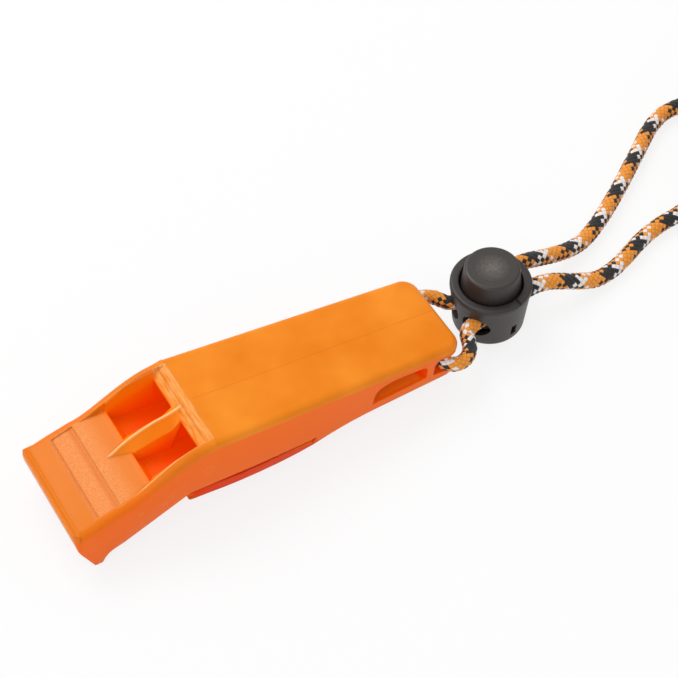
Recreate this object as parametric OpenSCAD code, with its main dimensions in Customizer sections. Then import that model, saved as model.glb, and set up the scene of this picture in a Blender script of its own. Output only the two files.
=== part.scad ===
// Flat two-chamber survival whistle with a moulded belt clip, a braided neck cord and a
// push-button cord lock. Millimetres. The whistle lies as it rests: on the lip of its
// mouthpiece, with its tail held up by the cord. +X runs from the mouthpiece to the tail,
// +Z is up, and the origin is at the bottom centre of the whistle.

/* [Whistle] */
// Length from the tip of the mouthpiece to the tail
whistle_l = 76; // [72:0.5:84]
// Width across the mouthpiece
mouth_w = 22.4; // [21:0.1:24]
// Width at the front end of the top plate
front_w = 20.9; // [20:0.1:22]
// Width at the tail
tail_w = 17.9; // [17:0.1:19]
// Where the top plate starts, measured from the tip
plate_x = 26; // [25:0.1:27]
// Depth of the mouthpiece's lower lip under the top plate
mouth_drop = 21; // [20:0.1:22]
// Height of the body under the top plate
body_h = 10.7; // [10.2:0.1:11.4]
// Thickness of the top plate
plate_t = 2.4; // [1.8:0.1:2.6]
// Thickness of the outer walls
wall = 1.6; // [1.2:0.1:2]
// Thickness of the cheeks beside the windows
cheek_t = 1.7; // [1.4:0.1:2]
// Thickness of the wall between the two chambers
rib_t = 1.2; // [0.8:0.1:1.6]
// Width of the rib between the windows at its foot
rib_w = 3.6; // [2.4:0.1:4.4]
// Radius of the tail's corners
tail_r = 3; // [2:0.1:3.6]
// Rounding along the top edges
edge_r = 1.4; // [0.8:0.1:1.6]
// Slope of the top plate as the whistle rests, in degrees
rest_pitch = 8; // [6:0.5:9]

/* [Mouthpiece] */
// Height of each air slot where it opens on the window
jet_h = 1.1; // [0.8:0.1:1.3]
// Height of each air slot at the lips
slot_mouth_h = 2; // [1.4:0.1:2.6]
// Thickness of the roof over the air slots at the windows
jet_roof = 0.8; // [0.6:0.1:1.1]
// Depth of the textured bite pad
pad_d = 0.3; // [0.2:0.05:0.5]
// Length of the window along the whistle
window_l = 8.7; // [8:0.1:9.2]

/* [Chambers] */
// Length of the near chamber behind the blade
near_chamber_l = 26; // [20:0.5:28]
// Length of the far chamber behind the blade
far_chamber_l = 22; // [18:0.5:28]

/* [Belt clip] */
// Thickness of the clip's leaf
leaf_t = 1.6; // [1.2:0.1:1.8]
// Gap between the leaf and the body
leaf_gap = 0.5; // [0.3:0.1:0.7]
// Radius of the round end of the gap at the leaf's root
root_r = 0.5; // [0.3:0.05:0.6]

/* [Tail] */
// Width of the cord channel
channel_w = 3.9; // [3.6:0.1:4.1]
// Height of the cord channel
channel_h = 3.6; // [3.5:0.1:3.8]
// Thickness of the post that the cord goes round
post_t = 1.8; // [1.4:0.1:2]
// Width of the post
post_w = 6; // [5:0.1:6.4]
// Length of the side slot
side_slot_l = 11.2; // [9:0.1:11.6]

/* [Cord] */
// Diameter of the braided cord
cord_d = 3.1; // [2.8:0.1:3.2]
// Middle radius of the inner turns of the stored coil
coil_r = 15.6; // [15:0.1:17]
// Number of layers in the stored coil
coil_layers = 4; // [3:1:5]
// Length of the knot at the cord's ends
knot_l = 11; // [9:0.5:13]
// Diameter of the knot
knot_d = 9.4; // [8:0.1:9.8]
// Width of the band that ties the coil
tie_w = 4; // [3:0.5:6]
// Thickness of the band that ties the coil
tie_t = 0.6; // [0.4:0.1:0.8]

/* [Cord lock] */
// Outside diameter of the lock's rim
lock_d = 15; // [14.6:0.1:15.6]
// Height of the lock's barrel
lock_h = 11.2; // [11:0.1:12.5]
// Diameter of the push button at the rim
button_d = 11.1; // [10.6:0.1:11.3]
// How far the button stands out of the barrel
button_out = 3.7; // [3:0.1:4.4]
// Diameter of the lock's cord holes
hole_d = 4.8; // [4.6:0.05:5]
// Distance between the two cord holes
hole_pitch = 6; // [5.9:0.1:6.2]
// Height of the cord holes over the lock's base
hole_z = 5.8; // [5.6:0.1:6]
// Play between a clamped cord and the edges that grip it
grip_clear = 0.05; // [0.03:0.01:0.1]
// Wire diameter of the return spring
spring_wire = 0.45; // [0.35:0.05:0.55]
// Coils of the return spring
spring_turns = 2.5; // [2:0.5:3]

/* [Hidden] */
$fn = 64;
eps = 0.05;
edge_out = 0.04;
big = 60;

// Whistle: x from the tip, z from the face of the top plate. The mouthpiece is drawn 26 long
// and 21 deep, and the rest 76 long, and both follow the driving sizes
function mouth(x, z) = [x * plate_x / 26, z * mouth_drop / 21];
function along(x) = x * whistle_l / 76;
tip = mouth(0.8, -11.7);
bead_r = tip.x;
lip_r = mouth(0.8, 0).x;
lip = mouth(5.1, -20.2);
step = mouth(4.5, -9.9);
ramp = mouth(8.6, -8.3);
jet_x = plate_x - 2.5 - window_l;
jet_z = mouth(0, -6.5).y;
blade_x = plate_x - 2.5;
blade_z = -plate_t;
crease_z = -0.15;
belly = mouth(21.6, 0).x;
tail_wall = 1.2;
channel_x = whistle_l - post_t - channel_w;
channel_top = -2.1;
channel_floor = channel_top - channel_h;
tail_z = channel_floor - tail_wall;
side_slot_x = channel_x - 1.5 - side_slot_l;
floor_z = -body_h + wall;

// The whistle as it rests
pivot_x = 40;
sp = sin(rest_pitch);
cp = cos(rest_pitch);
function rest_x(x, z) = (x - pivot_x) * cp + z * sp;
function rest_z(x, z) = -(x - pivot_x) * sp + z * cp;
// The lowest point is on the round lip, the ends are the tip's bead and the tail's edge
low_z = rest_z(lip.x, lip.y) - lip_r;
tip_end_x = rest_x(tip.x, tip.y) - bead_r;
tail_end_x = rest_x(whistle_l, -edge_r + sqrt(2 * edge_r * edge_out));
mid_x = (tip_end_x + tail_end_x) / 2;

// Cubic curve between two points with two handles
function bezier(a, b, c, d, n) = [for (i = [0:n]) let (t = i / n, s = 1 - t)
    s * s * s * a + 3 * s * s * t * b + 3 * s * t * t * c + t * t * t * d];
// Arc round a centre, from one angle to another
function arc(c, r, from, to, n) = [for (i = [0:n]) let (a = from + (to - from) * i / n)
    c + r * [cos(a), sin(a)]];

// Side outline of the moulding: top plate, raised cheeks, bent mouthpiece with its lip,
// then the clip's leaf and the tail's lower wall
gap_end = leaf_gap + 0.05;
leaf_tip = [belly + 0.35, -body_h - leaf_gap - leaf_t / 2];
leaf_end = [along(46), -body_h - 1];
leaf_drop = tail_z - leaf_end.y;
cheek_line = bezier([plate_x, crease_z], mouth(18.6, -0.3), mouth(13, -7.6), ramp, 12);
belly_start = [belly - 1.5, -body_h - leaf_gap - 0.37];
tail_line = bezier(leaf_end, leaf_end + [along(4), 0.29 * leaf_drop],
    leaf_end + [along(7), 0.5 * leaf_drop], leaf_end + [along(13.5), 0.65 * leaf_drop], 6);
side_outline = concat(
    [[whistle_l, 0], [plate_x, 0]], cheek_line, [step, mouth(2.6, -10.75), mouth(2.1, -10.95)],
    arc(tip, bead_r, 55, 200, 8), [mouth(0.8, -15.1), mouth(3.9, -20.4)],
    arc(lip, lip_r, 205, 350, 8),
    bezier(mouth(6.2, -19.7), mouth(7, -18.3), mouth(8.3, -18.2), mouth(9.6, -17.6), 5),
    [belly_start, leaf_tip + [-0.65, -0.5], leaf_tip + [-0.2, -0.75]],
    bezier([along(26), -body_h - 2.2], [along(31), -body_h - 2.7], [along(40), -body_h - 2.5],
           leaf_end, 8),
    [for (q = tail_line) if (q != leaf_end) q],
    [[whistle_l - 1.2, tail_z], [whistle_l - 0.5, channel_floor], [whistle_l, channel_floor]]);

// Outline of the gap between the leaf and the body, open at the leaf's tip
gap_outline = concat(
    [[belly - 2, leaf_tip.y - 1], belly_start, [belly, -body_h], [along(34), -body_h],
     [leaf_end.x, -body_h + gap_end], [leaf_end.x, -body_h + gap_end - leaf_gap],
     [along(34), -body_h - leaf_gap]],
    arc(leaf_tip, leaf_t / 2, 90, 215, 8));

module side_form() difference() {
    polygon(side_outline);
    polygon(gap_outline);
    translate([leaf_end.x, -body_h + gap_end - leaf_gap / 2]) circle(root_r);
}

// A side outline drawn in x and z, made as wide as w and centred
module side_slab(w) rotate([90, 0, 0]) linear_extrude(w, center = true) children();

// The plan's sides touch the round corners of the tail: their length and their lean
corner = [whistle_l - tail_r, tail_w / 2 - tail_r];
to_corner = corner - [plate_x, front_w / 2];
side_run = sqrt(norm(to_corner) ^ 2 - tail_r ^ 2);
lean = -atan(to_corner.y / to_corner.x) - asin(tail_r / norm(to_corner));

// The plan of the whistle: a slight taper, then a stronger one, and round corners
module plan() {
    tip_r = mouth(1.6, 0).x;
    half = concat(arc([tip_r, mouth_w / 2 - tip_r], tip_r, 180, 90, 6), [[plate_x, front_w / 2]],
        arc(corner, tail_r, 90 - lean, 0, 12));
    polygon(concat(half, [for (i = [len(half) - 1:-1:0]) [half[i].x, -half[i].y]]));
}

// Rounds the plate's long top edges, the tail's top edge and its two corners. The round
// starts a little outside the walls, so that it meets them at a small angle
module top_rounding() {
    for (s = [-1, 1]) {
        translate([plate_x, s * front_w / 2, 0]) rotate([0, 0, -s * lean])
            edge_cutter(side_run, s);
        translate([corner.x, s * corner.y, 0])
            rotate([0, 0, s > 0 ? 0 : -90 + lean])
            rotate_extrude(angle = 90 - lean) translate([tail_r - edge_r + edge_out, -edge_r])
            difference() {
                square(edge_r + eps);
                circle(edge_r);
            }
    }
    translate([whistle_l, -corner.y, 0]) rotate([0, 0, 90]) edge_cutter(2 * corner.y, -1);
}

// Cutter that leaves a quarter round along a top edge, running along +X
module edge_cutter(run, side) difference() {
    translate([0, side > 0 ? edge_out - edge_r : -1, -edge_r])
        cube([run, edge_r - edge_out + 1, edge_r + eps]);
    translate([-1, side * (edge_out - edge_r), -edge_r]) rotate([0, 90, 0])
        cylinder(run + 2, r = edge_r);
}

// Rib between the windows: a sharp crest with hollow flanks, which runs out on the ramp.
// Each station gives x, the crest, the flank's foot and the bottom, and the width's share
module rib() {
    floor_low = floor_z - 0.5;
    stations = [
        [mouth(10.4, -7.95), -8.1, -8.4, 0.06], [mouth(11.6, -7.05), -7.6, -7.9, 0.22],
        [mouth(13.2, -5.65), -7.1, -7.4, 0.6], [[jet_x - 0.05, -4.6], -6.75, -7, 0.95],
        [[jet_x + 0.6, -4.2], -6.3, floor_low, 1], [mouth(17, -3.4), -5.8, floor_low, 1],
        [mouth(19.5, -2.4), -4.9, floor_low, 1], [mouth(22, -1.8), -4.3, floor_low, 1],
        [[blade_x + 0.8, -0.85], -1.9, -2.2, 0.9], [[plate_x + 0.3, -0.02], -1.4, -1.8, 0.8]];
    loft([for (q = stations) let (w = rib_w / 2 * q[3], t = min(0.15, w / 3), x = q[0].x,
        top = q[0].y, foot = q[1], mid = top + 0.45 * (foot - top), mid_w = t + 0.35 * (w - t))
        [[x, -w, q[2]], [x, -w, foot], [x, -mid_w, mid], [x, -t, top],
         [x, t, top], [x, mid_w, mid], [x, w, foot], [x, w, q[2]]]]);
}

// Closed skin over rings of points, which run the same way round
module loft(rings) {
    n = len(rings[0]);
    last = (len(rings) - 1) * n;
    ends = [[for (k = [n - 1:-1:0]) k], [for (k = [0:n - 1]) last + k]];
    skin = [for (i = [0:len(rings) - 2], k = [0:n - 1])
        let (j = (k + 1) % n, a = i * n + k, b = (i + 1) * n + k, c = (i + 1) * n + j, d = i * n + j)
        each [[a, c, b], [a, d, c]]];
    polyhedron([for (r = rings) each r], concat(ends, skin));
}

// Outline of one window and its chamber
module window_side(chamber_l) {
    end_x = blade_x + chamber_l;
    front = [jet_x + 0.5, jet_z - jet_roof - jet_h];
    polygon([ramp + [-0.2, -0.02], [jet_x, jet_z], [jet_x + 0.35, jet_z - jet_roof], front,
        [front.x + 1.2, floor_z], [end_x, floor_z + 0.1], [end_x, blade_z], [blade_x, blade_z],
        [blade_x + 0.9, -1], [plate_x, 0], [plate_x, 2], [ramp.x - 0.2, 2]]);
}

// Outline of the air slot, from the lips to the window
module jet_side() {
    out = mouth(1, -16.1);
    top = [jet_x + 0.35, jet_z - jet_roof];
    low = [jet_x + 0.5, jet_z - jet_roof - jet_h];
    polygon([[out.x - 2, out.y - 1 + slot_mouth_h], [out.x, out.y + slot_mouth_h / 2], top,
        [top.x + 0.6, top.y], [low.x + 0.6, low.y], low, [out.x + 0.9, out.y - slot_mouth_h / 2],
        [out.x - 2, out.y - 2.4]]);
}

// Everything that is cut from the moulding before the rib is added
module hollows() {
    window_w = front_w - 2 * cheek_t - 1;
    under_blade = 0.5;
    window_slope = atan((blade_z - jet_z) / (blade_x - jet_x));
    // the ramp between the cheeks
    intersection() {
        side_slab(big) polygon([[ramp.x - 6, 2], ramp, [jet_x + eps, jet_z], [jet_x + eps, 2]]);
        inner_plan(cheek_t);
    }
    // the flare of the cheeks along the windows
    intersection() {
        translate([jet_x, 0, jet_z]) rotate([90, 0, 90]) rotate([-window_slope, 0, 0])
            translate([0, 0, -5]) linear_extrude(2 * plate_x) polygon([
            [-window_w / 2, 0], [window_w / 2, 0], [window_w / 2 + 1, 2.5],
            [window_w / 2 + 1, 15], [-window_w / 2 - 1, 15], [-window_w / 2 - 1, 2.5]]);
        side_slab(big) window_side(under_blade);
    }
    // both windows as far as the blade
    side_slab(window_w) window_side(under_blade);
    // two chambers and air slots, each between the middle wall and an outer wall
    for (s = [-1, 1]) {
        reach = window_w / 2 - rib_t / 2;
        intersection() {
            translate([0, s * (rib_t / 2 + reach / 2), 0]) side_slab(reach) union() {
                window_side(s < 0 ? near_chamber_l : far_chamber_l);
                jet_side();
            }
            inner_plan(cheek_t + 0.5);
        }
    }
    // bite pad, inside a rim
    translate([(step.x + ramp.x) / 2, 0, (step.y + ramp.y) / 2 + 1])
        rotate([0, -atan((ramp.y - step.y) / (ramp.x - step.x)), 0])
        translate([0, 0, -pad_d / 2])
        cube([ramp.x - step.x, mouth_w - 2 * cheek_t - 0.6, 2], center = true);
}

// Plan of the inside: the outer plan less walls of one thickness
module inner_plan(t) translate([0, 0, -25]) linear_extrude(30) polygon([
    [-1, mouth_w / 2 - t], [plate_x, front_w / 2 - t], [whistle_l, tail_w / 2 - t],
    [whistle_l, -tail_w / 2 + t], [plate_x, -front_w / 2 + t], [-1, -mouth_w / 2 + t]]);

// The slot through the tail's sides, and the channel that the cord runs in
module tail_openings() {
    top = -2.5;
    low = channel_floor - 0.1;
    r = 1.4;
    side_slab(big) polygon(concat(
        [[side_slot_x, low - 1.2]],
        bezier([side_slot_x + 0.3, low + 1], [side_slot_x + 0.6, top - 0.6],
               [side_slot_x + 2.4, top - 0.1], [side_slot_x + 6, top], 6),
        arc([side_slot_x + side_slot_l - r, top - r], r, 90, 0, 5),
        [[side_slot_x + side_slot_l, low + 0.2]]));
    difference() {
        side_slab(big) polygon([
            [channel_x, channel_floor], [channel_x, channel_top - 0.9],
            [channel_x + 0.9, channel_top], [whistle_l + 1, channel_top],
            [whistle_l + 1, channel_floor]]);
        post();
    }
}

// The post at the tail's end, round at both sides
module post() translate([whistle_l - post_t / 2, 0, -10]) {
    for (s = [-1, 1]) translate([0, s * (post_w - post_t) / 2, 0]) cylinder(9, d = post_t);
    translate([-post_t / 2, -(post_w - post_t) / 2, 0]) cube([post_t, post_w - post_t, 9]);
}

// The moulding in its own frame
module whistle_moulding() union() {
    difference() {
        intersection() {
            side_slab(big) side_form();
            translate([0, 0, -big / 2]) linear_extrude(big) plan();
        }
        hollows();
        tail_openings();
        top_rounding();
    }
    rib();
}

module whistle() color("darkorange")
    translate([-mid_x, 0, -low_z]) rotate([0, rest_pitch, 0]) translate([-pivot_x, 0, 0])
        whistle_moulding();

// Cord lock: centre, and the way its two holes point
lock_x = 50.3;
lock_y = 0.3;
lock_turn = 8;
rim_r = lock_d / 2;
wall_top_r = rim_r - 0.15;
base_r = rim_r - 0.8;
base_round = 1.7;
bore_r = button_d / 2 + 0.25;
button_top_r = button_d / 2 - 0.45;
plunger_r = bore_r - 0.08;
lock_floor = 0.9;
cord_r = cord_d / 2;
// The cord is pinched against the top of the barrel's holes
grip_z = hole_z + hole_d / 2 - cord_r - grip_clear;
travel = hole_d - cord_d - 2 * grip_clear;
eye_z = hole_z + travel;
foot_t = 1.1;
foot_z = eye_z - hole_d / 2 - foot_t;
latch_w = 1.2;
latch_h = 0.5;
latch_z = foot_z + 0.4;
latch_play = 0.2;
seat_gap = 0.05;
spring_r = 3.2;
spring_low = lock_floor + spring_wire / 2 + seat_gap;

// Places children at the lock, with +X along its cord holes
module at_lock() translate([lock_x, lock_y, 0]) rotate([0, 0, lock_turn]) children();

module lock_barrel() color("dimgray") at_lock() difference() {
    rotate_extrude() polygon(concat(
        [[0, 0]], arc([base_r - base_round, base_round], base_round, -90, 0, 8),
        [[wall_top_r, lock_h - 1.5], [rim_r, lock_h - 1.2]],
        arc([rim_r - 0.5, lock_h - 0.5], 0.5, 0, 90, 5),
        arc([bore_r + 0.3, lock_h - 0.3], 0.3, 90, 180, 3),
        [[bore_r, lock_floor], [0, lock_floor]]));
    // cord holes
    for (s = [-1, 1]) translate([0, s * hole_pitch / 2, hole_z]) rotate([0, 90, 0])
        cylinder(big, d = hole_d, center = true);
    // latch windows that the plunger's catches run in
    for (s = [0, 180]) rotate([0, 0, s])
        translate([-latch_w / 2, bore_r - 1, latch_z - travel - latch_play])
        cube([latch_w, rim_r - bore_r + 2, travel + latch_h + 2 * latch_play]);
    // notch on the rim
    translate([0.3, -rim_r - 1, lock_h - 0.35]) cube([0.5, 2.6, 1]);
}

module lock_plunger() color("darkslategray") at_lock() {
    top = lock_h + button_out;
    difference() {
        rotate_extrude() polygon(concat(
            [[0, foot_z], [plunger_r - 0.3, foot_z], [plunger_r, foot_z + 0.3],
             [plunger_r, lock_h - 1.3], [button_d / 2, lock_h - 0.9]],
            arc([button_top_r - 0.5, top - 0.5], 0.5, 0, 90, 5), [[0, top]]));
        // open cord eyes on both sides of the middle web
        for (s = [-1, 1]) {
            translate([0, s * hole_pitch / 2, eye_z]) rotate([0, 90, 0])
                cylinder(big, d = hole_d, center = true);
            translate([-big / 2, s > 0 ? hole_pitch / 2 : -hole_pitch / 2 - 5, eye_z - hole_d / 2])
                cube([big, 5, hole_d]);
        }
    }
    // catches
    for (s = [-1, 1]) translate([0, s * (plunger_r + 0.2), latch_z + latch_h / 2])
        cube([latch_w - 0.3, 0.9, latch_h], center = true);
}

module lock_spring() color("silver") at_lock()
    sweep([for (i = [0:spring_turns * 12]) let (a = i * 30, z = i / (spring_turns * 12))
        [spring_r * cos(a), spring_r * sin(a),
         spring_low + z * (foot_z - spring_wire / 2 - seat_gap - spring_low)]],
        spring_wire / 2, 6);

// Cord routes, from the middle of the tail's channel to the coil. z is the cord's middle
far_route = [
    [34.3, 0, 7.65], [34.3, 1.8, 7.65], [34.5, 3.6, 7.6], [35.3, 5.1, 7.5], [36.6, 6.1, 7.4],
    [38.2, 6.4, 7.2], [39.8, 6.1, 7], [41.2, 5.2, 6.9], [42.2, 4, 6.7], [43, 3, 6.6],
    [44.2, 2.55, 6.55], [46, 2.75, 6.6], [50, 3.3, 6.6], [56.2, 4.15, 6.6], [58.4, 4.4, 6.4],
    [61, 4.5, 5.9], [64, 4.5, 4.9], [67.5, 4.6, 3.7], [71, 4.9, 2.6], [74, 5.5, 1.9],
    [77, 6.5, 1.6], [83, 9.6, 1.6], [90, 14, 1.6], [97.8, 19.3, 1.6], [105, 24, 1.6],
    [109.5, 25.5, 1.6], [115, 25, 1.6], [120, 22, 1.6], [126, 20.4, 1.6]];
near_route = [
    [34.3, 0, 7.65], [34.3, -6.2, 7.65], [34.5, -8, 7.6], [35.3, -9.2, 7.3],
    [36.6, -9.8, 7], [38.3, -9.6, 6.6], [39.9, -8.7, 6.3], [41.1, -7.3, 6.1],
    [41.7, -5.9, 6.1], [42.2, -4.7, 6.3], [43.1, -3.95, 6.5], [44.4, -3.6, 6.6],
    [46, -3.35, 6.6], [50, -2.8, 6.6],
    [57, -1.8, 6.6], [59.2, -1.6, 6.4], [62, -1.7, 5.8], [65.2, -2.3, 4.6], [68.7, -3, 3.2],
    [72.2, -3.3, 2], [76.3, -2.7, 1.6], [80.3, -1.4, 1.6], [85.5, 0.6, 1.6],
    [90.5, 1.8, 1.6], [95, 2.2, 1.6], [100, 3.5, 1.6], [104.5, 6.2, 1.6], [107.5, 8.6, 1.6]];

function unit(v) = v / norm(v);
function heading(p, i) = unit(p[min(i + 1, len(p) - 1)] - p[max(i - 1, 0)]);
// One ring of points round a route's point, square to the route
function hoop(c, t, r, n) = let (side = unit(cross([0, 0, 1], t)), up = cross(t, side))
    [for (k = [0:n - 1]) c + r * (cos(k * 360 / n) * side + sin(k * 360 / n) * up)];

// Round bar along a route, as one closed skin
module sweep(p, r, n) {
    rings = [for (i = [0:len(p) - 1]) each hoop(p[i], heading(p, i), r, n)];
    last = (len(p) - 1) * n;
    polyhedron(rings, concat(
        [[for (k = [0:n - 1]) k]],
        [for (i = [0:len(p) - 2], k = [0:n - 1]) let (j = (k + 1) % n)
            [i * n + k, (i + 1) * n + k, (i + 1) * n + j, i * n + j]],
        [[for (k = [n - 1:-1:0]) last + k]]));
}

module cord_far() color("orange") sweep(far_route, cord_r, 8);
module cord_near() color("orange") sweep(near_route, cord_r, 8);

// Stored coil: two cords side by side, layer on layer
coil_x = 126;
coil_y = 0;
coil_in = coil_r - cord_r;
coil_out = coil_r + cord_d + 0.1 + cord_r;
coil_h = coil_layers * (cord_d + 0.1);
knot_seat = (coil_layers - 1) * (cord_d + 0.1);
coil_z = tie_t;
tie_angle = tie_w / coil_r * 180 / PI;
knot_bulge = knot_d * 7 / 12;

module at_coil() translate([coil_x, coil_y, coil_z]) children();

// The last layer ends at the knot, so it goes only part of the way round
module cord_coil() color("orange") at_coil() {
    rotate_extrude() translate([coil_in, 0]) square([coil_out - coil_in, knot_seat]);
    rotate([0, 0, -80]) rotate_extrude(angle = 255) translate([coil_in + eps, eps])
        square([coil_out - coil_in - 2 * eps, coil_h - eps]);
}

module coil_tie() color("black") at_coil() rotate([0, 0, -60 - tie_angle / 2])
    rotate_extrude(angle = tie_angle) translate([coil_in - tie_t, -tie_t]) difference() {
        square([coil_out - coil_in + 2 * tie_t, coil_h + 2 * tie_t]);
        translate([tie_t, tie_t]) square([coil_out - coil_in, coil_h]);
    }

module cord_knot() color("orange")
    translate([coil_x - 9, coil_y - 15, coil_z + knot_seat + knot_d / 2]) rotate([0, 90, -30])
        rotate_extrude() polygon(concat([[0, -knot_l / 2]],
            bezier([knot_d / 4, -knot_l / 2], [knot_bulge, -knot_l / 3],
                   [knot_bulge, knot_l / 3], [knot_d / 4, knot_l / 2], 8),
            [[0, knot_l / 2]]));

whistle();
lock_barrel();
lock_plunger();
lock_spring();
cord_far();
cord_near();
cord_coil();
coil_tie();
cord_knot();
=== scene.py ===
# %% [markdown]
# # A survival whistle on its neck cord
#
# A flat orange whistle, moulded in one piece, lies on its mouthpiece. A braided cord runs round
# the post in its tail, through a push-button cord lock, and out of the picture. The solids come
# from the CAD model. Blender's lengths are metres in the same frame; numbers that describe the
# object itself are millimetres.

# %% The frame and its size
import math

import bmesh
import bpy
import numpy as np
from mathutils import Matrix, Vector


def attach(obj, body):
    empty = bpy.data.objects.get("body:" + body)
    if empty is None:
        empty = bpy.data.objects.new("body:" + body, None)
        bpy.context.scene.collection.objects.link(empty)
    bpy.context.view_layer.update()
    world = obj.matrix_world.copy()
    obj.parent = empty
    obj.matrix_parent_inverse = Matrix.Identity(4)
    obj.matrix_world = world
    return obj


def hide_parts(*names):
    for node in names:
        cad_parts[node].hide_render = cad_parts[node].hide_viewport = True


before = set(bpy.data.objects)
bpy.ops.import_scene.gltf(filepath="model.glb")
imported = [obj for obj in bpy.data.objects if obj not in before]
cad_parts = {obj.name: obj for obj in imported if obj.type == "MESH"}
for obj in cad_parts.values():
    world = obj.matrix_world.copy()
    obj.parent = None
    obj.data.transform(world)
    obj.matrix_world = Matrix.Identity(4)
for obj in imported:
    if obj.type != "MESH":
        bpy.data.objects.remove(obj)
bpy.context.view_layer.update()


def new_object(name, data):
    """An object for a mesh, a lamp or a camera, linked to the scene."""
    made = bpy.data.objects.new(name, data)
    bpy.context.scene.collection.objects.link(made)
    return made


def mesh_from(bm, name):
    """A mesh with the bmesh's faces. The bmesh is freed."""
    mesh = bpy.data.meshes.new(name)
    bm.to_mesh(mesh)
    bm.free()
    return mesh


def turned_towards(target, place):
    """The rotation of a camera or a lamp that looks from its place to a target."""
    return (Vector(target) - Vector(place)).to_track_quat("-Z", "Y").to_euler()

# %% [markdown]
# ## The camera
#
# The photograph was taken with a long lens from above the near side. Its place was found from
# edges of known length, so it is a fixed point and a fixed target, with no tilt of the frame.

# %% Camera
camera_at = Vector((-0.08603, -0.17694, 0.28121))
looks_at = Vector((0.01796, -0.00043, 0.01604))

camera = new_object("camera", bpy.data.cameras.new("camera"))
camera.data.sensor_width = 36
camera.data.lens = 102.7
camera.data.clip_start = 0.01
camera.location = camera_at
camera.rotation_euler = turned_towards(looks_at, camera_at)
bpy.context.scene.camera = camera
print("camera distance", round((looks_at - camera_at).length, 3))

# %% [markdown]
# ## The cord's route
#
# One cord passes round the post, so two strands leave the tail, go through the lock side by side
# and make the neck loop. The photograph shows only their start. These first points are the
# route of the solids in the CAD model, so that the braid lies where the plain cord lies.

# %% Visible routes of the two strands, in millimetres
far_route = [
    (34.3, 0, 7.65), (34.3, 1.8, 7.65), (34.5, 3.6, 7.6), (35.3, 5.1, 7.5), (36.6, 6.1, 7.4),
    (38.2, 6.4, 7.2), (39.8, 6.1, 7), (41.2, 5.2, 6.9), (42.2, 4, 6.7), (43, 3, 6.6),
    (44.2, 2.55, 6.55), (46, 2.75, 6.6), (50, 3.3, 6.6), (56.2, 4.15, 6.6), (58.4, 4.4, 6.4),
    (61, 4.5, 5.9), (64, 4.5, 4.9), (67.5, 4.6, 3.7), (71, 4.9, 2.6), (74, 5.5, 1.9),
    (77, 6.5, 1.6), (83, 9.6, 1.6), (90, 14, 1.6), (97.8, 19.3, 1.6), (105, 24, 1.6),
    (109.5, 25.5, 1.6), (115, 25, 1.6), (120, 22, 1.6), (126, 20.4, 1.6)]
near_route = [
    (34.3, 0, 7.65), (34.3, -6.2, 7.65), (34.5, -8, 7.6), (35.3, -9.2, 7.3), (36.6, -9.8, 7),
    (38.3, -9.6, 6.6), (39.9, -8.7, 6.3), (41.1, -7.3, 6.1), (41.7, -5.9, 6.1), (42.2, -4.7, 6.3),
    (43.1, -3.95, 6.5), (44.4, -3.6, 6.6), (46, -3.35, 6.6), (50, -2.8, 6.6), (57, -1.8, 6.6),
    (59.2, -1.6, 6.4), (62, -1.7, 5.8), (65.2, -2.3, 4.6), (68.7, -3, 3.2), (72.2, -3.3, 2),
    (76.3, -2.7, 1.6), (80.3, -1.4, 1.6), (85.5, 0.6, 1.6), (90.5, 1.8, 1.6), (95, 2.2, 1.6),
    (100, 3.5, 1.6), (104.5, 6.2, 1.6), (107.5, 8.6, 1.6)]
print("visible points", len(far_route), len(near_route))

# %% [markdown]
# ## The coil
#
# The rest of the cord is wound up as for storage: both strands lie side by side in one round
# coil, layer on layer. Each strand moves inward from where it arrives, climbs by one layer at
# the same place on every loop, and is lifted a little where the tie passes under it. A slight
# wander and an oval keep the loops from looking machined.

# %% Points of the coil
cord_d = 3.1
layer = 3.2
loops = 3
coil_centre = (126.0, 0.0)
step = 12  # degrees between two points
inward_over = 48  # degrees in which a strand gets from its entry to its own radius
climb_at, climb_over = -135, 50  # degrees
tie_angle, tie_reach = -60, 50  # degrees
on_tie_z, sag = 2.2, 0.55
knot_angle = -121
opens_before_knot = 44  # degrees


def ease(t):
    """0 before 0, 1 after 1, and smooth between."""
    t = np.clip(t, 0, 1)
    return t * t * (3 - 2 * t)


def around_coil(angle, radius, height):
    """A point of the coil from its angle in degrees."""
    a = math.radians(angle)
    return coil_centre[0] + radius * math.cos(a), coil_centre[1] + radius * math.sin(a), height


def turns(start, entry_radius, radius):
    """The coiled part of a strand, clockwise from its start to just before the knot."""
    made = []
    for angle in np.arange(start - step, knot_angle - loops * 360 + opens_before_knot, -step):
        inward = ease((start - angle) / inward_over)
        climbed = sum(ease((climb_at - 360 * k - angle) / climb_over) for k in range(loops))
        off_tie = abs((angle - tie_angle + 180) % 360 - 180)
        height = on_tie_z - sag * ease(off_tie / tie_reach) + layer * climbed
        wander = 0.2 * math.sin(math.radians(0.83 * (angle - 40))) * inward
        oval = 0.15 * math.cos(math.radians(2 * angle + 130)) * inward
        made.append(around_coil(angle, entry_radius + (radius - entry_radius) * inward
                                + wander + oval, height))
    return made


far_turns, near_turns = turns(90, 20.4, 18.8), turns(155, 20.4, 15.6)
print("coil points", len(far_turns), len(near_turns))

# %% [markdown]
# ## Through the knot
#
# On top of the coil the two ends run side by side through a knot, and come out of it as two
# short tails that lie down on the coil.

# %% Points at the knot
knot_radius = 4.7
knot_length = 11
knot_centre = np.array((117.0, -15.0, 0.6 + 3 * layer + knot_radius))
half_apart = 1.35  # in the knot, from its axis to each strand
beside = 1.5  # before and after it
before_knot = (-88, 17.4, 13.2)  # angle, radius and height over the coil
tail_start, tail_step = (214.5, 17.6), (-8, -0.45)  # angle and radius
tail_heights = (13.9, 12.7, 11.9)


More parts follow.
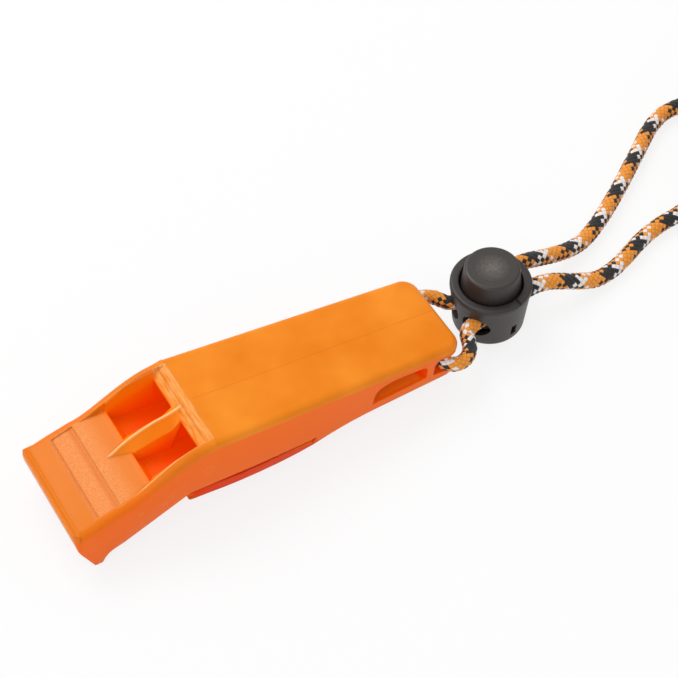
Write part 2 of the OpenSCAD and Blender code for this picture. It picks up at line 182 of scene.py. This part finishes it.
def through_knot(side):
    """A strand's way into the knot, through it, and its short tail. side is 1 or -1."""
    a = math.radians(knot_angle)
    out, along = np.array((math.cos(a), math.sin(a), 0)), np.array((math.sin(a), -math.cos(a), 0))
    made = [knot_centre + half_apart * side * out + s * along for s in (-5.5, -2, 2, 5.5)]
    before = around_coil(before_knot[0], before_knot[1] + beside * side, before_knot[2])
    tail = [around_coil(tail_start[0] + tail_step[0] * k,
                        tail_start[1] + beside * side + tail_step[1] * k, z)
            for k, z in enumerate(tail_heights)]
    return [before] + made + tail


far_points = far_route + far_turns + through_knot(1)
near_points = near_route + near_turns + through_knot(-1)
print("points", len(far_points), len(near_points))

# %% [markdown]
# ## A smooth centreline
#
# A curve through all the points is walked at even steps. The steps are short where the camera
# sees the braid and longer in the coil, so that the mesh stays light.

# %% Centrelines
fine_step, coarse_step = 0.0002, 0.00042  # metres
samples_per_span = 24


def centreline(points, fine_until):
    """Points in metres along a smooth curve, with their distance from the start."""
    p = np.array(points, float) / 1000
    p = np.vstack([2 * p[0] - p[1], p, 2 * p[-1] - p[-2]])
    gap = np.sqrt(np.linalg.norm(np.diff(p, axis=0), axis=1))
    knots = np.concatenate([[0], np.cumsum(gap)])
    dense = []
    for i in range(1, len(p) - 2):
        t0, t1, t2, t3 = knots[i - 1:i + 3]
        t = np.linspace(t1, t2, samples_per_span, endpoint=False)[:, None]
        a1 = ((t1 - t) * p[i - 1] + (t - t0) * p[i]) / (t1 - t0)
        a2 = ((t2 - t) * p[i] + (t - t1) * p[i + 1]) / (t2 - t1)
        a3 = ((t3 - t) * p[i + 1] + (t - t2) * p[i + 2]) / (t3 - t2)
        b1 = ((t2 - t) * a1 + (t - t0) * a2) / (t2 - t0)
        b2 = ((t3 - t) * a2 + (t - t1) * a3) / (t3 - t1)
        dense.append(((t2 - t) * b1 + (t - t1) * b2) / (t2 - t1))
    dense = np.vstack(dense + [p[-2:-1]])
    travelled = distances(dense)
    total = travelled[-1]
    at = np.concatenate([np.arange(0, fine_until, fine_step),
                         np.arange(fine_until, total, coarse_step), [total]])
    line = np.stack([np.interp(at, travelled, dense[:, k]) for k in range(3)], axis=1)
    return line, at


def distances(line):
    """How far each point of a line is from its start, along the line."""
    return np.concatenate([[0], np.cumsum(np.linalg.norm(np.diff(line, axis=0), axis=1))])


far_line, far_at = centreline(far_points, 0.125)
near_line, near_at = centreline(near_points, 0.115)
print("strand lengths", round(far_at[-1], 3), round(near_at[-1], 3))
print("rings", len(far_at), len(near_at))

# %% [markdown]
# ## The braid
#
# Sixteen yarns, eight each way, pass over one and under one. That gives rows of small rounded
# grains along the cord. The relief is computed from the same two yarn counts that the colours
# use, so that each grain has one colour.

# %% Yarns and grains
braid_pitch = 0.0093  # metres in which a yarn goes once round the cord
yarns = 8  # in each direction


def yarn_counts(turn, travelled):
    """The two slanted coordinates of the braid, one for each family of yarns."""
    along = travelled / braid_pitch
    return yarns * (along + turn), yarns * (along - turn)


def grain_height(turn, travelled):
    """Height of the braid's grains, from 0 between them to 1 on their backs."""
    a, b = yarn_counts(turn, travelled)
    yarn_a, yarn_b = np.floor(a), np.floor(b)
    a_on_top = np.mod(yarn_a - yarn_b, 2) < 1
    across = np.where(a_on_top, a - yarn_a, b - yarn_b) * 2 - 1
    along = np.where(a_on_top, b - yarn_b, a - yarn_a) * 2 - 1
    return np.sqrt(np.clip(1 - across ** 2, 0, 1)) * (1 - 0.6 * along ** 4)


print("grains per pitch", 2 * yarns * yarns)

# %% [markdown]
# ## The braided sleeve
#
# A grid is wrapped round the centreline, and its seam is merged. Directions round the line are
# carried from ring to ring without a twist, so that the braid keeps its pitch. A cord that is
# pulled round a post and through a lock gets thinner there, and so does this one.

# %% Braided tube
sides = 40
tube_radius = cord_d / 2000 * 1.02  # the grains' backs stand a little over the plain cord
thin_until, full_over = 0.013, 0.024  # metres from the post, and from there to the full width
tip_shape = np.array((0.02, 0.6, 0.9, 1.0))  # share of the radius, from the end ring inwards


def frames_along(line):
    """Tangent, side and upward direction at each point, with no twist between neighbours."""
    tangent = np.gradient(line, axis=0)
    tangent /= np.linalg.norm(tangent, axis=1)[:, None]
    up = np.zeros_like(line)
    up[0] = np.cross(tangent[0], np.cross((0, 0, 1.0), tangent[0]))
    up[0] /= np.linalg.norm(up[0])
    for i in range(1, len(line)):
        v = up[i - 1] - np.dot(up[i - 1], tangent[i]) * tangent[i]
        up[i] = v / np.linalg.norm(v)
    return tangent, np.cross(up, tangent), up


def braided_tube(name, line, at, relief, drawn_in=0.0):
    """A tube along the line with the braid's relief and a UV map of turn and distance.

    drawn_in is the share by which it is thinner where it is pulled round the post and
    through the lock."""
    bm = bmesh.new()
    uv = bm.loops.layers.uv.new("braid")
    last = len(line) - 1
    bmesh.ops.create_grid(bm, x_segments=sides, y_segments=last, size=1, calc_uvs=True)
    where = np.array([v.co for v in bm.verts])
    turn = (where[:, 0] + 1) / 2
    ring = np.rint((where[:, 1] + 1) / 2 * last).astype(int)
    tangent, side, up = frames_along(line)
    thinner = drawn_in * (1 - ease((at[ring] - thin_until) / full_over))
    r = tube_radius * (1 - relief * (1 - grain_height(turn, at[ring]))) * (1 - thinner)
    from_end = np.minimum(ring, last - ring)
    r = r * tip_shape[np.minimum(from_end, len(tip_shape) - 1)]
    angle = 2 * math.pi * turn
    across = np.cos(angle)[:, None] * side[ring] + np.sin(angle)[:, None] * up[ring]
    for v, p in zip(bm.verts, line[ring] + r[:, None] * across):
        v.co = p
    for face in bm.faces:
        for loop in face.loops:
            u, v = loop[uv].uv
            loop[uv].uv = (u, at[int(round(v * last))] / braid_pitch)
    bmesh.ops.remove_doubles(bm, verts=bm.verts, dist=1e-6)
    mesh = mesh_from(bm, name)
    mesh.shade_smooth()
    print(name, len(mesh.polygons), "faces")
    return new_object(name, mesh)


far_cord = braided_tube("far_cord", far_line, far_at, 0.14, 0.13)
near_cord = braided_tube("near_cord", near_line, near_at, 0.14, 0.13)

# %% [markdown]
# ## Shader trees as expressions
#
# A wrapped socket lets a material be written as sums: each operator adds one Math node.

# %% Socket wrapper


class Wire:
    """One output socket of a shader tree."""

    def __init__(self, tree, socket):
        self.tree, self.socket = tree, socket

    def maths(self, operation, *values, **settings):
        return self.tree.add("ShaderNodeMath", values, operation=operation, **settings)

    def __add__(self, other):
        return self.maths("ADD", self, other)

    def __sub__(self, other):
        return self.maths("SUBTRACT", self, other)

    def __rsub__(self, other):
        return self.maths("SUBTRACT", other, self)

    def __mul__(self, other):
        return self.maths("MULTIPLY", self, other)

    def __truediv__(self, other):
        return self.maths("DIVIDE", self, other)

    def __mod__(self, other):
        return self.maths("FLOORED_MODULO", self, other)

    def __lt__(self, other):
        return self.maths("LESS_THAN", self, other)

    def __gt__(self, other):
        return self.maths("GREATER_THAN", self, other)

    def __abs__(self):
        return self.maths("ABSOLUTE", self)

    def floor(self):
        return self.maths("FLOOR", self)

    def root(self):
        return self.maths("SQRT", self)

    def most(self, other):
        """The larger of two values: either of two masks."""
        return self.maths("MAXIMUM", self, other)

    def over(self, edge, width):
        """0 below the edge, 1 above edge + width, and a ramp between."""
        return self.maths("DIVIDE", self - edge, width, use_clamp=True)

    def under(self, edge, width):
        """1 below the edge, 0 above edge + width, and a ramp between."""
        return 1 - self.over(edge, width)

    __radd__, __rmul__ = __add__, __mul__

# %% [markdown]
# ## One material, one shader
#
# Each finish is one Principled shader. Its constants are set when it is made, and what varies
# over the surface is fed to it afterwards. All other nodes come from one method.

# %% Finish


def linear(red, green, blue):
    """A colour written as on screen, 0 to 255, in the renderer's linear values."""
    parts = [c / 255 for c in (red, green, blue)]
    return [c / 12.92 if c <= 0.04045 else ((c + 0.055) / 1.055) ** 2.4 for c in parts] + [1.0]


class Finish:
    """A material built round one Principled shader."""

    def __init__(self, name, **constants):
        self.material = bpy.data.materials.new(name)
        self.material.use_nodes = True
        self.tree = self.material.node_tree
        self.shader = self.tree.nodes["Principled BSDF"]
        for socket, value in constants.items():
            self.shader.inputs[socket.replace("_", " ")].default_value = value

    def add(self, kind, values=(), output=0, **settings):
        """One node. values are given in order, or by socket name or index in a dict."""
        made = self.tree.nodes.new(kind)
        for key, value in settings.items():
            setattr(made, key, value)
        pairs = values.items() if isinstance(values, dict) else enumerate(values)
        for key, value in pairs:
            self.put(made.inputs[key], value)
        return Wire(self, made.outputs[output])

    def put(self, socket, value):
        if isinstance(value, Wire):
            self.tree.links.new(value.socket, socket)
        else:
            socket.default_value = value

    def feed(self, socket, value):
        self.put(self.shader.inputs[socket], value)

    def split(self, vector):
        """The three parts of a vector."""
        outputs = self.add("ShaderNodeSeparateXYZ", (vector,)).socket.node.outputs
        return [Wire(self, output) for output in outputs]

    def mix(self, factor, a, b):
        """A colour between a and b."""
        return self.add("ShaderNodeMix", {0: factor, 6: a, 7: b}, output=2, data_type="RGBA")

    def base(self, factor, a, b):
        """Starts the surface's colour between two colours, written as on screen."""
        self.colour = self.mix(factor, linear(*a), linear(*b))

    def paint(self, mask, *colour):
        """Puts a colour, written as on screen, over what is painted so far."""
        self.colour = self.mix(mask, self.colour, linear(*colour))

    def noise(self, scale, detail=3.0, where=None):
        values = {"Scale": scale, "Detail": detail}
        if where is not None:
            values["Vector"] = where
        return self.add("ShaderNodeTexNoise", values)

    def bump(self, height, strength, distance, edge_radius=None):
        """A relief of the given depth, over edges that look rounded by edge_radius."""
        values = {"Height": height, "Strength": strength, "Distance": distance}
        if edge_radius:
            values["Normal"] = self.add("ShaderNodeBevel", {"Radius": edge_radius}, samples=6)
        return self.add("ShaderNodeBump", values)

    def place(self):
        """The point's own coordinates in its object."""
        return self.add("ShaderNodeTexCoord", output="Object")

    def dress(self, piece, slot_name=None):
        piece.data.materials.clear()
        piece.data.materials.append(self.material)

    def tell(self):
        """Prints how large the material's tree is so far."""
        print(self.material.name, len(self.tree.nodes), "nodes")


print("a mid grey is", round(linear(128, 128, 128)[0], 3), "in linear values")

# %% [markdown]
# ## The cord's colours
#
# Seven of the sixteen yarns are orange. Three neighbours of each family are black, with one or
# two white ones beside them. Where the black groups cross, the cord has a solid dark band, with
# a white fleck next to it, and where they cross orange yarns it has small dark checks. The
# hollows between the grains are darker, because little light reaches them.

# %% Cord material


def cord_finish(name, shift_a, shift_b):
    """Yarn colours. The shifts say which yarn of each family is the first black one."""
    cord = Finish(name, Roughness=0.75, Specular_IOR_Level=0.3, Sheen_Weight=0.25)
    turn, along = cord.split(cord.add("ShaderNodeUVMap", uv_map="braid"))[:2]
    a, b = (along + turn) * yarns, (along - turn) * yarns
    yarn_a, yarn_b = a.floor(), b.floor()
    a_on_top = ((yarn_a - yarn_b) % 2) < 0.5
    kind_a = (yarn_a + shift_a) % yarns
    kind_b = (yarn_b + shift_b) % yarns
    black_a, white_a = kind_a < 2.5, (kind_a > 2.5) * (kind_a < 4.5)
    black_b, white_b = kind_b < 2.5, (kind_b > 2.5) * (kind_b < 3.5)
    black = a_on_top * black_a + (1 - a_on_top) * black_b
    white = a_on_top * white_a + (1 - a_on_top) * white_b
    # a grain's middle is nearest to the middle of its cell in both directions
    across, along = (a - yarn_a) * 2 - 1, (b - yarn_b) * 2 - 1
    hollow = (across * across).most(along * along)
    between = hollow * hollow * hollow * 0.5
    orange = cord.mix(cord.noise(900), linear(232, 128, 20), linear(255, 176, 66))
    orange = cord.mix(between, orange, linear(120, 45, 5))
    dark = cord.mix(between, linear(38, 38, 40), linear(12, 12, 14))
    pale = cord.mix(between, linear(244, 236, 232), linear(150, 138, 130))
    cord.feed("Base Color", cord.mix(white, cord.mix(black, orange, dark), pale))
    cord.feed("Normal", cord.bump(cord.noise(4200, 2.0), 0.35, 0.0001))
    cord.tell()
    return cord


cord_finish("far_cord_yarn", 2.0, 6.0).dress(far_cord, "cord_braid")
cord_finish("near_cord_yarn", 2.0, 6.0).dress(near_cord, "cord_braid")

# %% [markdown]
# ## The knot
#
# The two ends are held in a barrel knot: three wraps of the same cord round both strands. The
# wraps are one more braided tube, along a helix that closes in at both ends.

# %% Knot wraps
wraps = 3
closes_over, closes_by = 0.06, 0.35
knot_line = []
for t in np.linspace(0, 1, 260):
    a = 2 * math.pi * wraps * t
    closed = ease((closes_over - t) / closes_over) + ease((t - 1 + closes_over) / closes_over)
    reach = (knot_radius - cord_d / 2) * (1 - closes_by * closed)
    height = (t - 0.5) * (knot_length - cord_d)
    knot_line.append((reach * math.cos(a), reach * math.sin(a), height))
knot_axis = Vector((math.sin(math.radians(knot_angle)), -math.cos(math.radians(knot_angle)), 0))
turn_to_knot = knot_axis.to_track_quat("Z", "X")
knot_line = np.array([turn_to_knot @ Vector(p) + Vector(knot_centre) for p in knot_line]) / 1000
knot_at = distances(knot_line)
knot_wraps = braided_tube("knot_wraps", knot_line, knot_at, 0.11)
cord_finish("knot_yarn", 3.0, 1.0).dress(knot_wraps, "cord_braid")
print("knot uses", round(knot_at[-1] * 1000, 1), "mm of cord")

# %% [markdown]
# ## The cords on the whistle's body
#
# A real cord is limp; here the braided pieces are only attached to the whistle's body, and the
# CAD model's plain cords are hidden.

# %% Attaching the cords
body = "whistle_and_cord"
for piece in (far_cord, near_cord, knot_wraps):
    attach(piece, body)
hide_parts("cord_far", "cord_coil")
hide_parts("cord_near")
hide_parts("cord_knot")

# %% [markdown]
# ## The coil's tie
#
# A woven black band holds the coil. It is the CAD solid with a cloth finish.

# %% Tie
band = Finish("tie_cloth", Roughness=0.85, Specular_IOR_Level=0.25)
weave = band.add("ShaderNodeTexWave", {"Vector": band.place(), "Scale": 900.0, "Distortion": 0.4},
                 output="Fac", wave_type="BANDS")
band.feed("Base Color", band.mix(weave, linear(20, 20, 22), linear(48, 48, 50)))
band.feed("Normal", band.bump(weave, 0.5, 0.0002))
band.dress(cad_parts["coil_tie"])
band.tell()

# %% [markdown]
# ## The whistle's moulding
#
# The whistle is injected in one shot. The CAD mesh is loose triangles, so a merged copy stands
# for it: curved places then shade smoothly. Places on it are given in the whistle's own frame,
# which leans by 8 degrees, as distance from the tip, distance to the side, and height over the
# top face.

# %% The whistle in its own frame
tilt = math.radians(8)
half_length = 40
mid_x, low_z = -2.872725, -15.946274  # from the CAD frame to the middle of the top face


def from_tip(co):
    """Distance from the tip and height over the plate's top face, in millimetres."""
    x, z = co[0] * 1000 + mid_x, co[2] * 1000 + low_z
    return (x * math.cos(tilt) - z * math.sin(tilt) + half_length,
            x * math.sin(tilt) + z * math.cos(tilt))


bm = bmesh.new()
bm.from_mesh(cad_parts["whistle"].data)
bmesh.ops.remove_doubles(bm, verts=bm.verts, dist=2e-6)
bmesh.ops.dissolve_limit(bm, angle_limit=math.radians(0.5), verts=bm.verts, edges=bm.edges)
up_local = Vector((math.sin(tilt), 0, math.cos(tilt)))
print("merged copy", len(bm.verts), "points", len(bm.faces), "faces")

# %% [markdown]
# ## Small corrections of the solid
#
# A thin fin stands on the round at each rear corner of the plate, and is laid down onto it. The
# plan is also made a little slimmer at the mouth and fuller at the tail, as in the photograph.

# %% Fins and width
edge_r = 1.4
fuller_by, fuller_from, fuller_over = 0.034, 45, 31  # share of the width, place, run
slimmer_by, slimmer_until, slimmer_over = 0.027, 26, 24
plate_side_y = 8.95
fins_from, fins_to = 72.6, 73.6


def share(value, over):
    """value / over, kept between 0 and 1."""
    return min(max(value / over, 0), 1)


def move(vert, aside=0.0, up=0.0):
    """Moves a point by millimetres, outward to its own side and up from the top face."""
    outward = Vector((0, math.copysign(1, vert.co.y), 0))
    vert.co += (up_local * up + outward * aside) / 1000


def lay_on_round(near_x, far_x, side_y, top):
    """Pulls what stands out of a rounded edge along the side back onto its round."""
    laid = 0
    for vert in bm.verts:
        x, z = from_tip(vert.co)
        off_y = abs(vert.co.y) * 1000 - (side_y - edge_r)
        off_z = z - (top - edge_r)
        reach = math.hypot(off_y, off_z)
        if near_x < x < far_x and off_y > -0.05 and off_z > 0 and reach > edge_r + 0.01:
            move(vert, aside=off_y * (edge_r / reach - 1), up=off_z * (edge_r / reach - 1))
            laid += 1
    print("points laid onto the round", laid)


lay_on_round(fins_from, fins_to, plate_side_y, 0)
for vert in bm.verts:
    x, z = from_tip(vert.co)
    wider = (fuller_by * share(x - fuller_from, fuller_over)
             - slimmer_by * share(slimmer_until - x, slimmer_over))
    move(vert, aside=abs(vert.co.y) * 1000 * wider)

# %% [markdown]
# ## Round edges
#
# A mouthpiece that goes between the teeth has no sharp edge, and a moulding's outer edges are
# rounded so that it leaves the mould. The solid keeps these edges simple: they get their round
# here, 1.4 mm along the cheeks and 0.7 mm below the mouthpiece.

# %% Round edges
rounds = (  # from and to along the whistle, on its upper side or not, radius, segments
    (-1.0, 26.1, True, edge_r, 4),
    (4.5, 21.6, False, edge_r / 2, 3))
outer_y = 9.9
corner_from, corner_to, tip_side_y, tip_top = -0.1, 1.2, 10.85, -11.04
smooth_below = math.radians(30)


def outer_edges(near_x, far_x, above):
    """Long edges between a side wall and a face above or below it."""
    found = []
    for edge in bm.edges:
        if len(edge.link_faces) != 2:
            continue
        places = [from_tip(v.co)[0] for v in edge.verts]
        if min(places) < near_x or max(places) > far_x:
            continue
        if min(abs(v.co.y) for v in edge.verts) * 1000 < outer_y:
            continue
        normals = [f.normal for f in edge.link_faces]
        walls = [abs(n.y) > 0.97 for n in normals]
        if sum(walls) != 1:
            continue
        other = normals[walls.index(False)]
        if (other.dot(up_local) > 0.1) == above and abs(other.y) < 0.6:
            found.append(edge)
    return found


for near_x, far_x, above, radius, steps in rounds:
    chosen = outer_edges(near_x, far_x, above)
    bmesh.ops.bevel(bm, geom=chosen, offset=radius / 1000, offset_type="OFFSET", segments=steps,
                    profile=0.5, affect="EDGES", clamp_overlap=False, material=-1)
    print("bevelled", len(chosen), "edges by", radius, "mm")
# the corners of the tip get the same round as the cheeks behind them
lay_on_round(corner_from, corner_to, tip_side_y, tip_top)

for edge in bm.edges:
    edge.smooth = len(edge.link_faces) == 2 and edge.calc_face_angle(0) < smooth_below
for face in bm.faces:
    face.smooth = True
whistle = new_object("whistle_body", mesh_from(bm, "whistle_body"))
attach(whistle, body)
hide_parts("whistle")
print("whistle faces", len(whistle.data.polygons))

# %% [markdown]
# ## The whistle's plastic
#
# The plastic is bright orange and lets some light through. Its colours are painted in layers,
# each with a mask that is computed from the place in the whistle's own frame.

# %% Plastic and places
plastic = Finish("whistle_plastic", Subsurface_Weight=0.18, Subsurface_Scale=0.0012,
                 Subsurface_Radius=(1.0, 0.4, 0.1), Specular_IOR_Level=0.16,
                 Emission_Strength=1.0)
spot = plastic.place()
place_parts = plastic.split(spot)
tip_x, top_z = from_tip(place_parts)
far_y = place_parts[1] * 1000
near_y = -1 * far_y
aside = abs(far_y)
inside_y, blade_x, plate_x = 9.0, 23.6, 26.0  # inner walls, start of the blade, of the top face
plastic.tell()

# %% [markdown]
# ## Clouded top and warm sides
#
# The top face is slightly clouded, as thick mouldings are. The ramp in front is a little deeper
# in colour, and the side walls are redder, because light comes to them through the plastic.
# Below the body, where the clip lies in shade, the colour is a deep red of painted shade.

# %% Top, front and sides
line_slope, line_start = 0.4713, (14.8, -6.5)  # from the windows' front edge up to the blade
depth = (tip_x - line_start[0]) * line_slope + line_start[1] - top_z
over_line = -1 * depth
cloudy = plastic.noise(110, 2.0, spot)
plastic.base(cloudy.over(0.3, 0.4), (232, 127, 14), (244, 144, 34))
front = tip_x.under(22, 3.0) * over_line.under(2.6, 2.0)
plastic.paint(front, 228, 122, 16)
cheek_side = aside.over(9.2, 0.6) * top_z.under(-1.8, 0.8) * over_line.under(-0.6, 2.6)
plate_side = aside.over(8.7, 0.3) * tip_x.over(plate_x, 0.4) * top_z.under(-1.8, 0.6)
plastic.paint(cheek_side.most(plate_side) * 0.9, 252, 106, 0)
# painted shade: everything below the body's bottom, the clip too, is painted deep red
shade_under_plate = top_z.under(-11.1, 0.3) * tip_x.over(21.5, 1.0)
plastic.paint(shade_under_plate, 232, 66, 2)
plastic.tell()

# %% [markdown]
# ## The glow of the windows
#
# Inside the windows and the tail's channel the light has passed through the walls more than
# once, so they glow in a deep orange-red. That red is painted into the colour as shade and glow,
# deeper where the hollows lie deeper, and a weak emission stands for that light.

# %% Windows and hollows
window = aside.under(inside_y, 0.1) * tip_x.over(13.6, 1.4) * tip_x.under(23.7, 0.1)
warm = window * depth.over(-3.4, 3.0)
deep = window * depth.over(-0.4, 6.0)
behind_blade = (tip_x.over(blade_x, 0.05) * top_z.under(-2.35, 0.05)
                * aside.under(8.6, 0.1) * tip_x.under(56, 0.5))
tail_hole = (tip_x.over(56.8, 0.4) * tip_x.under(74.6, 0.2) * aside.under(inside_y, 0.15)
             * top_z.under(-2.15, 0.1) * top_z.over(-5.75, 0.05))
dark = tail_hole.most(behind_blade.most(deep))
# painted shade and glow: orange-red in the hollows, a deeper red further in
plastic.paint(warm * 0.85, 246, 116, 0)
plastic.paint(dark, 238, 76, 0)
inner_light = plastic.mix(warm, linear(0, 0, 0), linear(84, 34, 0))
plastic.feed("Emission Color", plastic.mix(dark, inner_light, linear(100, 34, 0)))
plastic.tell()

# %% [markdown]
# ## The rib and the cheeks' inner edges
#
# The rib between the windows is painted as light as the top face, with a painted highlight along
# its thin crest, which light passes through. The inner edges of both cheeks get painted
# highlights too, most of all the near one.

# %% Rib and edges
ramp_slope = 0.288
above_ramp = (top_z - (tip_x - line_start[0]) * ramp_slope - line_start[1]).over(0.06, 0.12)
above_ramp = above_ramp.most(tip_x.over(14.9, 0.3))
rib = (aside.under(1.75, 0.1) * tip_x.over(10.4, 0.4) * tip_x.under(blade_x, 0.2)
       * depth.under(1.5, 2.5) * above_ramp)
plastic.paint(rib * 0.9, 248, 144, 22)
# painted highlight along the rib's crest
crest_highlight = (aside.under(0.12, 0.2) * tip_x.over(10.8, 0.6) * tip_x.under(24.2, 0.5)
         * depth.under(-0.9, 0.8))
plastic.paint(crest_highlight * 0.6, 255, 222, 160)
# painted highlights along the cheeks' inner edges, stronger on the near cheek
off_inner = aside - (9.28 - (tip_x - 9.7) * 0.05)
edge_highlight = (off_inner.over(0.1, 0.06) * off_inner.under(0.25, 0.2)
             * tip_x.over(8.0, 2.0) * tip_x.under(24.0, 1.5) * depth.under(-1.2, 0.4))
plastic.paint(edge_highlight * (near_y.over(0, 0.1) * 0.3 + 0.15), 255, 214, 150)
plastic.tell()

# %% [markdown]
# ## The blade's bevel
#
# The bevel in front of the top face, which splits the air, was left rough by the tool that cut
# the mould. It is paler, streaked along the blade, and lies in two bands.

# %% Blade bevel
strip = (tip_x.over(blade_x, 0.1) * tip_x.under(plate_x, 0.05) * top_z.over(-2.3, 0.1)
         * aside.under(inside_y, 0.1))
stretched = plastic.add("ShaderNodeMapping", {0: spot, 3: (3.2, 0.35, 1.0)})
streaks = plastic.noise(1100, 3.0, stretched)
plastic.paint(strip * streaks.over(0.35, 0.3) * 0.7, 246, 178, 104)
plastic.paint(strip * abs(tip_x - 24.7).under(0.05, 0.2) * 0.5, 206, 104, 30)
plastic.tell()

# %% [markdown]
# ## The bite pad
#
# The pad behind the tip is sand-blasted in the mould, so that teeth and lips hold it. It is
# paler than the rest, with two soft grooves across, darkened by painted shade.

# %% Bite pad
pad = (tip_x.over(4.3, 0.15) * tip_x.under(10.2, 2.5) * aside.under(9.1, 0.2)
       * top_z.over(-11.4, 0.2))
sand = plastic.noise(3800, 3.0, spot)
grooves = abs(tip_x - 4.7).under(0.1, 0.5).most(abs(tip_x - 8.3).under(0.1, 0.6))
plastic.paint(pad * (sand.over(0.35, 0.3) * 0.5 + 0.25), 244, 162, 104)
# painted shade in the pad's two grooves
plastic.paint(pad * grooves * 0.5, 216, 104, 16)
plastic.tell()

# %% [markdown]
# ## Traces of the mould
#
# Ejector pins leave faint rings on the near side wall, and a faint line runs along the middle
# of the top face.

# %% Moulding marks


def ring_at(x, z, radius):
    """A thin ring drawn on the side wall round a point, in millimetres."""
    off_x, off_z = tip_x - x, top_z - z
    reach = (off_x * off_x + off_z * off_z).root()
    return reach.over(radius - 0.3, 0.12) * reach.under(radius - 0.1, 0.12)


marks = ring_at(24.75, -6.34, 0.95) + ring_at(12.1, -11.0, 0.5) + ring_at(16.6, -11.0, 0.5)
plastic.paint(marks * near_y.over(8.9, 0.2) * 0.2, 255, 176, 112)
middle = aside.under(0.06, 0.1) * tip_x.over(26.8, 0.3) * top_z.over(-0.3, 0.1)
plastic.paint(middle * 0.28, 205, 96, 12)
plastic.tell()

# %% [markdown]
# ## Relief and gloss of the plastic
#
# The smooth faces are satin. The pad and the blade's bevel are rougher, in relief as well as in
# gloss. Edges that the mesh leaves sharp catch the light as if they were rounded by 0.4 mm.

# %% Whistle plastic
speckle = plastic.noise(2600, 2.0, spot)
height = (speckle * 0.12 + sand * pad * 1.4 + streaks * strip * 3.0 - middle * 0.4
          - pad * grooves * 2.5)
plastic.feed("Base Color", plastic.colour)
plastic.feed("Roughness", pad * 0.25 + strip * 0.15 + cloudy * 0.06 + 0.3)
plastic.feed("Normal", plastic.bump(height, 1.0, 0.00002, edge_radius=0.0004))
plastic.dress(whistle, "whistle_plastic")
plastic.tell()

# %% [markdown]
# ## The cord lock
#
# Barrel and button are charcoal plastic, moulded separately, with a wire spring between them.
# The button's top shows turned rings from the mould; their sheen is painted into its colour, with
# a painted highlight at its middle.

# %% Lock
lock_x, lock_y, button_top = 0.0503, 0.0003, 14.5
charcoal = Finish("lock_plastic", Specular_IOR_Level=0.5)
spot = charcoal.place()
lock_parts = charcoal.split(spot)
off_x, off_y = lock_parts[0] - lock_x, lock_parts[1] - lock_y
reach = (off_x * off_x + off_y * off_y).root() * 1000
on_top = (lock_parts[2] * 1000).over(button_top, 0.2)
fine = charcoal.noise(1800, 3.0, spot)
rings = charcoal.add("ShaderNodeTexNoise", {"W": reach * 2.6, "Scale": 1.0, "Detail": 2.0},
                     noise_dimensions="1D")
charcoal.base(fine, (38, 32, 30), (52, 45, 42))
# painted sheen on the turned rings of the button's top
charcoal.paint(on_top * rings * 0.3, 84, 78, 72)
# painted highlight at the middle of the button's top
charcoal.paint(on_top * reach.under(0.3, 3.0) * fine * 0.6, 150, 140, 132)
charcoal.feed("Base Color", charcoal.colour)
charcoal.feed("Roughness", 0.4 + fine * 0.1 - on_top * 0.08)
turned = fine * 0.5 + rings * on_top * 1.2
charcoal.feed("Normal", charcoal.bump(turned, 1.0, 0.00002, edge_radius=0.0003))
for part in ("lock_barrel", "lock_plunger"):
    charcoal.dress(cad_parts[part])
charcoal.tell()

# %% [markdown]
# ## The spring
#
# The spring inside the lock is bright steel wire, out of view behind the barrel.

# %% Spring
wire = Finish("spring_wire", Metallic=1.0)
shades = wire.noise(500, 2.0, wire.place())
wire.feed("Base Color", wire.mix(shades, linear(170, 170, 172), linear(205, 205, 208)))
wire.feed("Roughness", wire.noise(900, 2.0, wire.place()) * 0.2 + 0.25)
wire.dress(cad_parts["lock_spring"])
wire.tell()

# %% [markdown]
# ## The floor
#
# The photograph has a clean white ground. The floor glows white to the camera and to
# reflections, and still takes a soft shadow.

# %% Floor
floor_half = 3
glow_share = 0.82

bm = bmesh.new()
bmesh.ops.create_grid(bm, x_segments=1, y_segments=1, size=floor_half)
floor = new_object("floor", mesh_from(bm, "floor"))

ground = Finish("ground", Base_Color=(0.86, 0.86, 0.86, 1), Roughness=1.0, Specular_IOR_Level=0.0)
rays = ground.add("ShaderNodeLightPath").socket.node.outputs
seen = Wire(ground, rays["Is Camera Ray"]).most(Wire(ground, rays["Is Glossy Ray"]))
lit = Wire(ground, ground.shader.outputs[0])
glow = ground.add("ShaderNodeEmission", {"Strength": 1.0})
blend = ground.add("ShaderNodeMixShader", (seen * glow_share, lit, glow))
ground.put(ground.tree.nodes["Material Output"].inputs["Surface"], blend)
ground.dress(floor)
print("floor", 2 * floor_half, "m wide")

# %% [markdown]
# ## The light
#
# The picture has soft light from all sides. A pale world gives most of it, one large lamp from
# behind makes the soft shadow, and a weak one fills in from the left.

# %% Lamps and world
world_strength = 0.66
lamps_look_at = (0.02, 0, 0.01)

world = bpy.data.worlds.new("world")
bpy.context.scene.world = world
world.use_nodes = True
background = world.node_tree.nodes["Background"].inputs
background["Color"].default_value = (1, 1, 1, 1)
background["Strength"].default_value = world_strength


def softbox(name, at, size, power):
    """A square lamp that looks at the object."""
    lamp = bpy.data.lights.new(name, "AREA")
    lamp.shape = "SQUARE"
    lamp.size = size
    lamp.energy = power
    made = new_object(name, lamp)
    made.location = at
    made.rotation_euler = turned_towards(lamps_look_at, at)
    print(name, power, "W")


softbox("key_lamp", (-0.1, 0.5, 0.75), 0.6, 4.2)
softbox("fill_lamp", (-0.6, -0.4, 0.5), 0.5, 1.2)
bpy.context.scene.view_settings.view_transform = "Standard"
